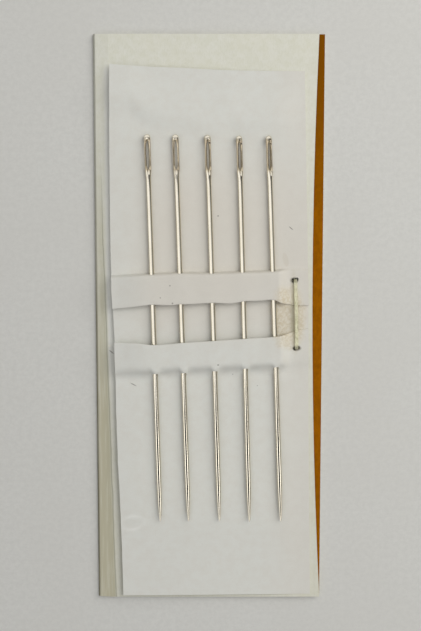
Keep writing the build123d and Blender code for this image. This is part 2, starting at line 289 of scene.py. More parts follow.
def scoredCard(tree, place, broad, colour):
    # What the fold beside the leaf adds to the carton. The pressed score runs a little askew: its line
    # is where x + lean * y + place is 0, with a slight wobble.
    score = {"lean": 0.0262, "place": 18.55, "wobble": 0.5}
    acrossCard, alongCard = addNode(tree, "SeparateXYZ", {0: place}).outputs[:2]
    shift = maths(tree, "MULTIPLY_ADD", alongCard, score["lean"], score["place"] * mm)
    wobble = swing(tree, broad, score["wobble"] * mm)
    offset = maths(tree, "ADD", maths(tree, "ADD", acrossCard, shift), wobble)
    streak = noise(tree, stretched(tree, place, 1.0, 0.05, 1.0), 0.4, 4.0, 0.6)
    # painted shade of the raised leaf on the folded side, with handling dirt in streaks along the fold,
    # darker towards the foot
    leafShadeAndSoil = times(
        tree,
        remap(tree, offset, 0.3 * mm, -0.5 * mm, 0.2, 1.0),
        remap(tree, alongCard, 50.0 * mm, -40.0 * mm, 0.05, 1.0),
        remap(tree, streak, 0.3, 0.7, 0.7, 1.3),
    )
    colour = paint(tree, colour, "#c3bea5", leafShadeAndSoil)
    # painted light that eases the leaf's shadow on the carton close to the leaf
    paintedLightByLeaf = times(
        tree,
        remap(tree, offset, 0.0, 0.5 * mm, 0.0, 0.8),
        remap(tree, acrossCard, -10.0 * mm, -12.0 * mm),
        remap(tree, acrossCard, -18.9 * mm, -18.1 * mm),
        remap(tree, alongCard, -28.0 * mm, 0.0, 0.1, 1.0),
        remap(tree, alongCard, 46.5 * mm, 44.5 * mm),
    )
    colour = paint(tree, colour, "#f4f4ec", paintedLightByLeaf)
    # dirt rubbed into the outer fold, with painted shade where the fold rounds away from the light
    rubbedDirtAndShade = times(
        tree,
        remap(tree, acrossCard, -20.12 * mm, -20.4 * mm),
        remap(tree, alongCard, 50.0 * mm, -45.0 * mm, 0.4, 0.9),
        remap(tree, streak, 0.3, 0.7, 0.75, 1.1),
    )
    colour = paint(tree, colour, "#6f6b56", rubbedDirtAndShade)
    # painted shade along the score, and softer on its folded side, which fade towards the head
    low = remap(tree, alongCard, 34.0 * mm, 12.0 * mm)
    side = times(
        tree,
        remap(tree, offset, -1.5 * mm, 0.0, 0.0, 0.34),
        maths(tree, "LESS_THAN", offset, 0.0),
        low,
    )
    line = times(tree, remap(tree, maths(tree, "ABSOLUTE", offset), 0.16 * mm, 0.03 * mm), low)
    colour = paint(tree, colour, "#b9b79f", side)
    colour = paint(tree, colour, "#8f8d78", line, 0.5)
    # one nick beside the score: a bright chip and a dark scratch
    chip = ovalMask(tree, place, (-18.0, -4.2), (0.22, 0.26), 0.0, 0.3)
    scratch = ovalMask(tree, place, (-17.65, -5.35), (0.5, 0.1), -38.0, 0.4)
    colour = paint(tree, colour, "#fbf8ea", chip, 0.9)
    return paint(tree, colour, "#6f6b58", scratch, 0.55)


def cardStock(name, printedSide, scored=False):
    # greyish cream carton with long fibres; its outer side is printed plain orange-brown
    made, tree, shader, coords = newMaterial(name)
    place = coords.outputs["Object"]
    fibre = noise(tree, stretched(tree, place, 1.0, 0.35, 1.0), 0.22, 5.0, 0.68)
    cloud = noise(tree, place, 1.3, 4.0, 0.6)
    broad = noise(tree, place, 9.0, 3.0)
    colour = mixColour(tree, remap(tree, cloud, 0.3, 0.72), linear("#e6e6da"), linear("#e0e0d0"))
    colour = paint(tree, colour, "#cfcfb9", remap(tree, fibre, 0.45, 0.66, 0.0, 0.25))
    colour = paint(tree, colour, "#e6e3cd", remap(tree, broad, 0.35, 0.7, 0.0, 0.2))
    if scored:
        colour = scoredCard(tree, place, broad, colour)
    # the ink is mottled, and darker towards the head
    inkCloud = noise(tree, stretched(tree, place, 1.0, 0.5, 1.0), 0.6, 5.0, 0.7)
    ink = mixColour(tree, remap(tree, inkCloud, 0.3, 0.7), linear("#a26200"), linear("#8e5400"))
    alongCard = addNode(tree, "SeparateXYZ", {0: place}).outputs[1]
    ink = paint(tree, ink, "#7d4a00", remap(tree, alongCard, 10.0 * mm, 50.0 * mm, 0.0, 0.95))
    # it covers the faces that look to the printed side, up to a slightly rubbed edge
    facing = addNode(tree, "SeparateXYZ", {0: coords.outputs["Normal"]}).outputs[2]
    printed = maths(tree, "ADD", times(tree, facing, float(printedSide)), swing(tree, inkCloud, 0.25))
    printed = remap(tree, printed, 0.8, 0.9)
    grain = maths(tree, "ADD", fibre, times(tree, cloud, 1.6))
    setInputs(tree, shader, {
        "Base Color": mixColour(tree, printed, colour, ink),
        "Roughness": remap(tree, printed, 0.0, 1.0, 0.8, 0.5, False),
        "Specular IOR Level": 0.04,
        "Normal": bump(tree, grain, 0.18, 0.04),
    })
    return made


def needleSteel():
    # nickel-plated steel, polished along its length, slightly warm
    made, tree, shader, coords = newMaterial("needleSteel")
    place = coords.outputs["Object"]
    streak = noise(tree, stretched(tree, place, 1.0, 0.02, 1.0), 0.09, 3.0, 0.6)
    cloud = noise(tree, stretched(tree, place, 1.0, 0.25, 1.0), 0.9, 3.0)
    colour = mixColour(tree, remap(tree, cloud, 0.35, 0.7), linear("#e0d9c6"), linear("#d8d0bb"))
    # the pressed head is browner than the drawn shaft
    along = addNode(tree, "SeparateXYZ", {0: place}).outputs[1]
    pressed = times(
        tree,
        remap(tree, along, 26.6 * mm, 27.6 * mm),
        remap(tree, along, 33.0 * mm, 32.4 * mm),
    )
    setInputs(tree, shader, {
        "Base Color": paint(tree, colour, "#a48f68", pressed, 0.55),
        "Metallic": 1.0,
        "Roughness": remap(tree, streak, 0.3, 0.7, 0.05, 0.11),
        "Normal": bump(tree, streak, 0.01, 0.02),
    })
    return made


# the staple's wire, and the half sizes of its holes in the leaf
staple = {
    "middle": (15.64, 1.54), "turn": 1.45, "reach": 6.2, "crown": 1.73, "clinch": 0.66,
    "clinchLength": 4.93, "bend": 0.35, "wide": 0.31, "high": 0.2, "bow": 0.05,
    "holeAcross": 0.54, "holeAlong": 0.44, "sharp": 50,
    "bendPoints": 9, "clinchPoints": 9, "crownPoints": 40, "sectionPoints": 21,
}


def stapleSteel():
    # galvanised wire, dull and faintly greenish, with rubbed dark patches
    made, tree, shader, coords = newMaterial("stapleSteel")
    place = coords.outputs["Object"]
    streak = noise(tree, stretched(tree, place, 1.0, 0.1, 1.0), 0.2, 4.0, 0.7)
    patch = noise(tree, place, 0.8, 4.0, 0.65)
    colour = mixColour(tree, remap(tree, patch, 0.4, 0.65), linear("#e8e5c4"), linear("#cdcaa4"))
    colour = paint(tree, colour, "#8d886e", remap(tree, streak, 0.5, 0.75, 0.0, 0.6))
    # painted shade where the wire bends down into the holes in the paper
    along = addNode(tree, "SeparateXYZ", {0: place}).outputs[1]
    fromMiddle = maths(tree, "ABSOLUTE", maths(tree, "SUBTRACT", along, staple["middle"][1] * mm))
    colour = paint(tree, colour, "#4e4a3b", remap(tree, fromMiddle, 5.4 * mm, 6.0 * mm, 0.0, 0.45))
    setInputs(tree, shader, {
        "Base Color": colour,
        "Metallic": 0.35,
        "Roughness": remap(tree, patch, 0.3, 0.7, 0.42, 0.6),
        "Normal": bump(tree, maths(tree, "ADD", streak, patch), 0.3, 0.03),
    })
    return made


paperFinish = leafPaper()
coverFinish = cardStock("cardCover", 1)
carrierFinish = cardStock("cardCarrier", -1, True)
spineFinish = cardStock("cardSpine", -1, True)
steelFinish = needleSteel()
wireFinish = stapleSteel()
print("materials made")


# Card: the three folded panels keep their solids, with softened edges

cardEdge = {"width": 0.05, "segments": 2, "sharper": 40}
panelFinishes = {"cover_panel": coverFinish, "carrier_panel": carrierFinish, "spine_strip": spineFinish}
for node, finish in panelFinishes.items():
    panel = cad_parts[node]
    panel.data.materials.clear()
    panel.data.materials.append(finish)
    soften = panel.modifiers.new("softened edges", "BEVEL")
    soften.width = cardEdge["width"] * mm
    soften.segments = cardEdge["segments"]
    soften.limit_method = "ANGLE"
    soften.angle_limit = radians(cardEdge["sharper"])
print("card dressed")


# Needles

# Places along the needle are counted from its middle. The radius, the head's and the eye's sizes are
# half sizes.
needle = {
    "tip": -35.0, "head": 35.0, "pointLength": 10.2, "neckStart": 27.1, "gutterFoot": 27.8,
    "eyeFoot": 28.8, "eyeMiddle": 31.4, "eyeHead": 34.0, "gutterHead": 34.43,
    "radius": 0.45, "headHalf": 0.575, "headThick": 0.42, "eyeHalf": 0.26, "gutterDepth": 0.27,
    "gutterEase": 0.17, "spreadPast": 0.5, "gutterPast": 0.25, "wallBulge": 0.05, "leastShare": 0.35,
    "pointRise": 0.53, "pointRound": 1.8, "squareShare": 0.25, "domePower": 2.4, "slotPower": 5.0,
    "sharp": 50,
}
# how many cross-sections stand along each part of the needle, and points round its face and eye wall
needleCounts = {
    "point": 30, "shaft": 36, "neck": 16, "eyeEnd": 9, "eye": 22, "crown": 5, "dome": 14,
    "face": 15, "wall": 5, "towardsTip": 1.7,
}
# each needle's eye, its direction, and how far it lies rolled
needlePlaces = [
    ((-10.8299, 29.9475, 2.4426), (-0.02932, 0.99957), -18.0),
    ((-5.8326, 29.9383, 2.3168), (-0.03176, 0.9995), 3.0),
    ((-0.1756, 29.8589, 2.1765), (-0.03176, 0.9995), -26.0),
    ((5.4199, 29.7355, 2.0391), (-0.03002, 0.99955), -28.0),
    ((10.6786, 29.7341, 1.9033), (-0.03734, 0.9993), -34.0),
]


def needleRings():
    # where the cross-sections stand along the needle, close together where its form changes
    n, count = needle, needleCounts
    point = n["tip"] + n["pointLength"] * np.linspace(0.0, 1.0, count["point"]) ** count["towardsTip"]
    shaft = np.linspace(n["tip"] + n["pointLength"], n["neckStart"], count["shaft"])[1:]
    neck = np.linspace(n["neckStart"], n["eyeFoot"], count["neck"])[1:]
    turnIn = n["eyeHalf"] * (1.0 - np.cos(np.linspace(0.0, pi / 2, count["eyeEnd"])))
    foot = n["eyeFoot"] + turnIn[1:]
    middle = np.linspace(n["eyeFoot"] + n["eyeHalf"], n["eyeHead"] - n["eyeHalf"], count["eye"])[1:]
    top = (n["eyeHead"] - turnIn[::-1])[1:]
    domeStart = n["head"] - n["headHalf"]
    crown = np.linspace(n["eyeHead"], domeStart, count["crown"])[1:]
    dome = domeStart + n["headHalf"] * np.sin(np.linspace(0.0, pi / 2, count["dome"]))[1:]
    rings = np.concatenate([point, shaft, neck, foot, middle, top, crown, dome])
    eyeFirst = len(point) + len(shaft) + len(neck) - 1
    return rings, eyeFirst, eyeFirst + len(foot) + len(middle) + len(top)


def needleMesh(name, eye, direction, roll):
    # Half width of the point: 1 - (1 - t^pointRise)^pointRound of the radius, t along the point. The
    # head is a superellipse split down the middle by the long eye, whose half width is eyeHalf times
    # the root of 1 - s^slotPower, s from its middle to its ends. A gutter fades out above and below it.
    n, count = needle, needleCounts
    y, eyeFirst, eyeLast = needleRings()
    t = np.clip((y - n["tip"]) / n["pointLength"], 0.0, 1.0)
    shaft = n["radius"] * (1.0 - (1.0 - t ** n["pointRise"]) ** n["pointRound"])
    spread = smooth((y - n["neckStart"]) / (n["eyeFoot"] + n["spreadPast"] - n["neckStart"]))
    wide = shaft + (n["headHalf"] - n["radius"]) * spread
    rise = np.clip((y - (n["head"] - n["headHalf"])) / n["headHalf"], 0.0, 1.0)
    wide = wide * np.sqrt(1.0 - rise ** 2)
    flat = smooth((y - n["neckStart"]) / (n["gutterFoot"] - n["neckStart"]))
    dome = (1.0 - rise ** n["domePower"]) ** (1 / n["domePower"])
    thick = (shaft + (n["headThick"] - n["radius"]) * flat) * dome
    power = 2.0 + n["squareShare"] * flat * (1.0 - rise)
    inEye = np.clip(np.abs(2.0 * (y - n["eyeMiddle"]) / (n["eyeHead"] - n["eyeFoot"])), 0.0, 1.0)
    slot = n["eyeHalf"] * np.sqrt(1.0 - inEye ** n["slotPower"])
    footFade = smooth((y - n["gutterFoot"]) / (n["eyeFoot"] + n["gutterPast"] - n["gutterFoot"]))
    headFade = smooth((n["gutterHead"] - y) / (n["gutterHead"] - n["eyeHead"] + n["gutterPast"]))
    gutter = n["gutterDepth"] * footFade * headFade

    share = np.linspace(0.0, 1.0, count["face"])
    ratio = np.divide(slot, wide, out=np.zeros_like(slot), where=wide > 1e-6)
    start = np.arccos(np.clip(ratio ** (power / 2), 0.0, 1.0))
    angle = start[:, None] * (1.0 - share[None, :])
    across = wide[:, None] * np.cos(angle) ** (2 / power[:, None])
    height = thick[:, None] * np.sin(angle) ** (2 / power[:, None])
    groove = gutter[:, None] * np.exp(-(((across - slot[:, None]) / n["gutterEase"]) ** 2))
    height = np.maximum(height - groove, n["leastShare"] * height)
    across = np.concatenate([across, across[:, -2::-1]], axis=1)
    height = np.concatenate([height, -height[:, -2::-1]], axis=1)
    rings, columns = across.shape
    along = np.repeat(y[:, None], columns, axis=1)

    vertices, faces = [], []
    for side in (1.0, -1.0):
        start = sum(len(v) for v in vertices)
        vertices.append(np.stack([side * across, along, height], axis=2).reshape(-1, 3))
        faces.append(gridFaces(rings, columns, start))
        # the wall of the eye runs straight through between the two faces of the head
        eyeRows = slice(eyeFirst, eyeLast + 1)
        wall = np.linspace(0.0, 1.0, count["wall"])[None, :]
        back, front = height[eyeRows, -1][:, None], height[eyeRows, 0][:, None]
        wallHeight = back + (front - back) * wall
        bulge = n["wallBulge"] * np.sin(pi * wall) * (slot[eyeRows][:, None] / n["eyeHalf"])
        wallAcross = slot[eyeRows][:, None] - bulge
        start = sum(len(v) for v in vertices)
        wallAlong = np.repeat(y[eyeRows][:, None], count["wall"], axis=1)
        vertices.append(np.stack([side * wallAcross, wallAlong, wallHeight], axis=2).reshape(-1, 3))
        faces.append(gridFaces(len(wallAlong), count["wall"], start))
    points = np.concatenate(vertices)

    # roll the needle about its own axis, turn it on the card and bring its eye to its place
    a = radians(roll)
    x = points[:, 0] * cos(a) - points[:, 2] * sin(a)
    z = points[:, 0] * sin(a) + points[:, 2] * cos(a)
    y = points[:, 1] - n["eyeMiddle"]
    placed = np.stack([
        eye[0] + x * direction[1] + y * direction[0],
        eye[1] - x * direction[0] + y * direction[1],
        eye[2] + z,
    ], axis=1)
    return meshObject(name, placed, np.concatenate(faces).tolist(), steelFinish, n["sharp"])


for k, (eye, direction, roll) in enumerate(needlePlaces, 1):
    made = needleMesh(f"steelNeedle{k}", eye, direction, roll)
    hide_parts(f"needle_{k}")
    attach(made, f"needle_{k}")
print("needles made")


# Leaf: one sheet of paper with two pleats

# The row of needles is turned a little on the card. u runs across the row from its middle, v along it
# towards the head, and z is the height above the table.
leaf = {
    "middle": 0.773, "turn": 1.82, "thickness": 0.12, "carrierTop": 1.06, "slope": 0.024824,
    "glued": 13.759, "raisedLeft": -11.67, "raisedRight": 11.96, "easeLeft": 6.2, "easeRight": 1.8,
    "lift": 1.155, "press": 0.03, "freeRaise": 0.5,
    "gap": 0.06, "upperRun": 0.35, "lowerRun": 1.5, "hole": 0.49, "holeHeight": 0.655, "ragged": 0.012,
    "leftBend": (-12.0, 5.0), "rightBend": (13.0, 3.6),
    "needles": [-10.72, -5.65, 0.0, 5.54, 11.01],
    "leans": [-0.14, 0.0, 0.0, -0.10, 0.32],
}
# how far the free paper sinks between the needles and at the lower root, and where each starts
sag = {
    "depth": 0.05, "ease": 2.2, "rootDepth": 0.06, "rootEase": 0.45, "rootFrom": 7.2, "rootRun": 1.0,
    "beside": 0.5, "clear": 0.2, "rise": 1.0, "rowEase": 0.8,
}
# The straight pieces of the sheet's line that every needle pierces, counted from the head, each taken
# with a share of the corners before and after it; and what keeps a point at a hole's middle in bounds.
rim = {"pieces": (1, 6, 12, 17), "corner": 0.999, "leastSlope": 0.2, "leastOut": 0.05, "furthest": 0.4}
# the sheet's columns: from and to, how many in all, and how close they stand at a needle and the staple
columnPlan = {
    "from": -17.7, "to": 16.9, "count": 92, "apart": 0.2, "needleReach": 0.9, "needleCount": 17,
    "staple": 14.75, "stapleReach": 0.7, "stapleCount": 12,
}
# the sheet's cut edges and folds as the photograph shows them: X and Y on the card
leafEdges = {
    "head": [(-17.75, 45.8), (-11.87, 45.4), (-5.14, 45.15), (3.72, 44.75), (17.0, 44.63)],
    "left": [(-17.45, 45.5), (-17.6, 25.6), (-17.55, 11.3), (-17.25, 2.3), (-17.0, -3.1), (-16.9, -9.0),
             (-16.65, -23.4), (-16.1, -37.4), (-15.79, -50.5)],
    "right": [(16.93, 44.6), (17.45, 24.0), (17.93, 3.6), (18.2, -20.0), (18.69, -50.5)],
    "foot": [(-15.9, -50.5), (18.8, -50.5)],
}
# Across the row: how far each fold lies from the middle of the row. The lower root steps out over each
# needle, where the paper stands up in a small lip.
foldPlaces = {
    "upperRoot": [(-18, 9.15), (-10.7, 9.35), (-5.6, 9.4), (0, 9.2), (5.5, 9.2), (11, 9.2), (14, 9.35),
                  (17, 9.2)],
    "upperCrest": [(-18, 3.2), (-15, 3.4), (-12.2, 3.7), (-10.7, 3.8), (-9.6, 3.72), (-8, 3.58),
                   (-6.6, 3.63), (-5.65, 3.72), (-4.6, 3.66), (0, 3.75), (1.4, 3.66), (3, 3.52),
                   (4.4, 3.66), (5.54, 3.86), (8, 3.83), (11.0, 3.88), (12.3, 3.3), (14.6, 2.75),
                   (17.5, 2.6)],
    "lowerCrest": [(-18, 2.85), (-14, 3.1), (-11, 3.5), (-5.6, 3.3), (0, 3.15), (5.5, 2.95), (10.5, 2.8),
                   (12.5, 2.6), (15, 1.9), (17.5, 1.6)],
    "lowerRoot": [(-18, 9.35), (-13, 9.4), (-11.6, 9.45), (-10.7, 10.0), (-9.8, 9.45), (-8.2, 9.35),
                  (-6.5, 9.4), (-5.65, 10.05), (-4.75, 9.4), (-3, 9.3), (-0.9, 9.35), (0, 9.9),
                  (0.9, 9.35), (2.8, 9.25), (4.7, 9.3), (5.54, 9.6), (6.4, 9.25), (8.2, 9.2),
                  (10.2, 9.2), (11.01, 9.55), (11.85, 9.15), (14, 8.95), (17, 8.85)],
}


def toRow(points):
    # places on the card as distances across and along the turned row
    a = radians(leaf["turn"])
    x, y = np.array(points).T
    x = x - leaf["middle"]
    return x * cos(a) + y * sin(a), y * cos(a) - x * sin(a)


def throughPoints(at, places, values):
    # a smooth line through points: between two of them the value follows a cubic whose slopes at the
    # points are the slopes between their neighbours
    places, values = np.asarray(places, float), np.asarray(values, float)
    order = np.argsort(places)
    places, values = places[order], values[order]
    steps = np.diff(values) / np.diff(places)
    slopes = np.concatenate([[steps[0]], (steps[1:] + steps[:-1]) / 2, [steps[-1]]])
    at = np.clip(at, places[0], places[-1])
    i = np.clip(np.searchsorted(places, at, side="right") - 1, 0, len(places) - 2)
    width = places[i + 1] - places[i]
    t = (at - places[i]) / width
    return (
        values[i] * (1 + 2 * t) * (1 - t) ** 2 + values[i + 1] * t * t * (3 - 2 * t)
        + width * (slopes[i] * t * (1 - t) ** 2 - slopes[i + 1] * t * t * (1 - t))
    )


def foldPlace(name, u):
    places = foldPlaces[name]
    return throughPoints(u, [p[0] for p in places], [p[1] for p in places])


def leafRaise(u):
    # 1 where the needles lift the pleats, 0 where the pleats are pressed flat
    left = np.clip((u - leaf["raisedLeft"]) / leaf["easeLeft"] + 1.0, 0.0, 1.0)
    right = np.clip((leaf["raisedRight"] - u) / leaf["easeRight"] + 1.0, 0.0, 1.0)
    return (leaf["freeRaise"] + (1.0 - leaf["freeRaise"]) * np.sin(left * pi / 2) ** 1.5) * smooth(right)


def sheetHeight(u):
    # the middle of the paper above the table, rising to the left from where it is glued
    return leaf["carrierTop"] + leaf["thickness"] / 2 + np.maximum(0.0, leaf["glued"] - u) * leaf["slope"]


def pleatLine(u, root, crest, run):
    # Nine corners of a pleat in order: root, top of the slope, three round the crest, foot of the
    # lower wall, and three of the small fold under the root. Distances from the row's middle, heights.
    t = leaf["thickness"]
    sheet = sheetHeight(u)
    lower = sheet + t + leaf["press"] + (leaf["lift"] - leaf["press"]) * leafRaise(u)
    upper = lower + t + leaf["gap"]
    fold = (upper - lower) / 2
    slope = np.arctan2(upper - sheet, run)
    step = np.minimum(run, 2 * (t + leaf["gap"]) / np.sin(slope))
    small = (t + leaf["press"] / 2) / 2
    under = root - step
    away = [root, root - run, crest + fold, crest, crest + fold, under - run,
            under - small, under, under - small]
    height = [sheet, upper, upper, lower + fold, lower, lower, sheet + 2 * small, sheet + small, sheet]
    return np.stack(away, axis=-1), np.stack(height, axis=-1)


headAcross, headAlong = toRow(leafEdges["head"])
footAcross, footAlong = toRow(leafEdges["foot"])
leftAcross, leftAlong = toRow(leafEdges["left"])
rightAcross, rightAlong = toRow(leafEdges["right"])
# the radius of each rounded corner along the sheet, in the order of the sheet's line
upperRadii = [0.3, 0.45, 0.08, 0.08, 0.08, 0.4, 0.05, 0.05, 0.05]
lowerRadii = [0.05, 0.05, 0.05, 0.4, 0.08, 0.08, 0.08, 0.6, 0.9]
cornerRadii = np.array(upperRadii + lowerRadii)


def leafCorners(u):
    # the corners of the sheet's middle line at each place across the row, from its head to its foot
    upper = pleatLine(u, foldPlace("upperRoot", u), foldPlace("upperCrest", u), leaf["upperRun"])
    lower = pleatLine(u, foldPlace("lowerRoot", u), foldPlace("lowerCrest", u), leaf["lowerRun"])
    head = throughPoints(u, headAcross, headAlong)[..., None]
    foot = throughPoints(u, footAcross, footAlong)[..., None]
    sheet = sheetHeight(u)[..., None]
    v = np.concatenate([head, upper[0], -lower[0][..., ::-1], foot], axis=-1)
    z = np.concatenate([sheet, upper[1], lower[1][..., ::-1], sheet], axis=-1)
    return np.stack([v, z], axis=-1)


def rowOf(table, index):
    # each place's own row of a table of points
    return np.take_along_axis(table, np.broadcast_to(index, index.shape[:-1] + (2,)), -2)[..., 0, :]


def leafPoint(u, q):
    # A place on the sheet: across the row, and along the sheet. q counts the pieces of the line, the
    # straight ones even and the rounded corners odd, which are quadratic curves tangent to both sides.
    p = leafCorners(u)
    run = np.diff(p, axis=-2)
    length = np.linalg.norm(run, axis=-1)
    reach = np.minimum(cornerRadii, 0.45 * np.minimum(length[..., :-1], length[..., 1:]))
    before = p[..., 1:-1, :] - run[..., :-1, :] * (reach / length[..., :-1])[..., None]
    after = p[..., 1:-1, :] + run[..., 1:, :] * (reach / length[..., 1:])[..., None]
    starts = np.concatenate([p[..., :1, :], after], axis=-2)
    ends = np.concatenate([before, p[..., -1:, :]], axis=-2)
    piece = np.clip(np.floor(q).astype(int), 0, 2 * starts.shape[-2] - 2)
    t = (q - piece)[..., None]
    i = (piece // 2)[..., None, None]
    straight = rowOf(starts, i) * (1 - t) + rowOf(ends, i) * t
    j = np.minimum(i, before.shape[-2] - 1)
    corner = rowOf(p[..., 1:-1, :], j)
    bend = rowOf(before, j) * (1 - t) ** 2 + 2 * corner * t * (1 - t) + rowOf(after, j) * t ** 2
    return np.where((piece % 2 == 0)[..., None], straight, bend)


def even(count):
    # even shares from 0 up to 1, without the 1
    return np.arange(count) / count


def leafRows():
    # The places along the sheet where its rows of points stand: shares of each straight piece, and then
    # the corner after it. They crowd where the sag and the unevenness start and end.
    upperTop = np.array([0.0, 0.05, 0.1, 0.15, 0.2, 0.26, 0.4, 0.55, 0.7, 0.85])
    upperUnder = np.clip(1.0 - upperTop[::-1] - 0.03, 0, 1)
    lowerTop = np.array([0.0, 0.12, 0.25, 0.4, 0.55, 0.68, 0.73, 0.78, 0.83, 0.88])
    lowerUnder = np.array([0.0, 0.12, 0.17, 0.22, 0.27, 0.32, 0.45, 0.6, 0.75, 0.88])
    sheetMiddle = np.concatenate([
        np.linspace(0.0, 0.04, 3), np.linspace(0.06, 0.115, 6), np.linspace(0.15, 0.7, 12),
        np.linspace(0.73, 0.785, 6), np.linspace(0.82, 0.97, 5),
    ])
    head, foot = 1.0 - (1.0 - even(38)) ** 1.15, np.append(even(38) ** 1.15, 1.0)
    slope, short = even(12), even(1)
    straights = [
        head, slope, upperTop, short, short, upperUnder, slope, short, short, sheetMiddle, short, short,
        slope, lowerUnder, short, short, lowerTop, slope, foot,
    ]
    widerCorners = (0, 1, 4, 5, 12, 13, 16, 17)
    rows = []
    for i, part in enumerate(straights):
        rows.append(2 * i + part)
        if i < len(straights) - 1:
            rows.append(2 * i + 1 + even(4 if i in widerCorners else 3))
    return np.concatenate(rows)


def leafColumns():
    # the places across the row, closer beside each needle and at the staple
    c = columnPlan
    beside = np.linspace(-c["needleReach"], c["needleReach"], c["needleCount"])
    atStaple = c["staple"] + np.linspace(-c["stapleReach"], c["stapleReach"], c["stapleCount"])
    near = [n + d for n in leaf["needles"] for d in beside] + list(atStaple)
    wide = np.linspace(c["from"], c["to"], c["count"])
    kept = [w for w in wide if min(abs(w - n) for n in near) > c["apart"]]
    return np.sort(np.array(near + kept))


# The paper's own unevenness: a shallow ridge above the needles' heads, slow waves and a dried drop. A
# wave is its height, its lengths across and along, and its start. An ease is where it ends, and its run.
uneven = {
    "ridge": [(-14.0, 40.1), (-10.6, 37.6), (-3.4, 36.2), (-0.5, 35.5), (1.6, 35.8), (3.8, 36.5),
              (6.0, 35.8), (11.0, 36.2), (14.4, 37.3), (16.2, 38.8)],
    "ridgeHeight": 0.38, "ridgeAbove": 7.0, "ridgeBelow": 3.2, "ridgeEase": (16.5, 5.0),
    "waves": [(0.05, 5.1, 9.0, 0.6), (0.04, 2.9, -6.3, 2.1), (0.03, 11.0, 3.1, 0.0)],
    "waveBase": 0.12, "waveShare": 0.6, "waveEase": (17.5, 4.0),
    "drop": (-14.2, -36.8), "dropHalf": (2.4, 1.25), "dropHeight": 0.06, "dropEdge": 0.3,
    "flatFrom": 9.2, "flatRun": 1.5,
}


def waves(x, y):
    # the unevenness in millimetres, all of it rising from the flat sheet
    w = uneven
    ridgeX, ridgeY = np.array(w["ridge"]).T
    past = y - throughPoints(x, ridgeX, ridgeY)
    up = 1.0 - np.where(past > 0, smooth(past / w["ridgeAbove"]), smooth(-past / w["ridgeBelow"]))
    up = w["ridgeHeight"] * up * smooth((w["ridgeEase"][0] - x) / w["ridgeEase"][1])
    slow = sum(high * np.sin(x / across + y / along + start) for high, across, along, start in w["waves"])
    slow = (slow + w["waveBase"]) * w["waveShare"] * smooth((w["waveEase"][0] - x) / w["waveEase"][1])
    rho = np.hypot((x - w["drop"][0]) / w["dropHalf"][0], (y - w["drop"][1]) / w["dropHalf"][1])
    return up + slow + w["dropHeight"] * np.exp(-(((rho - 1.0) / w["dropEdge"]) ** 2))


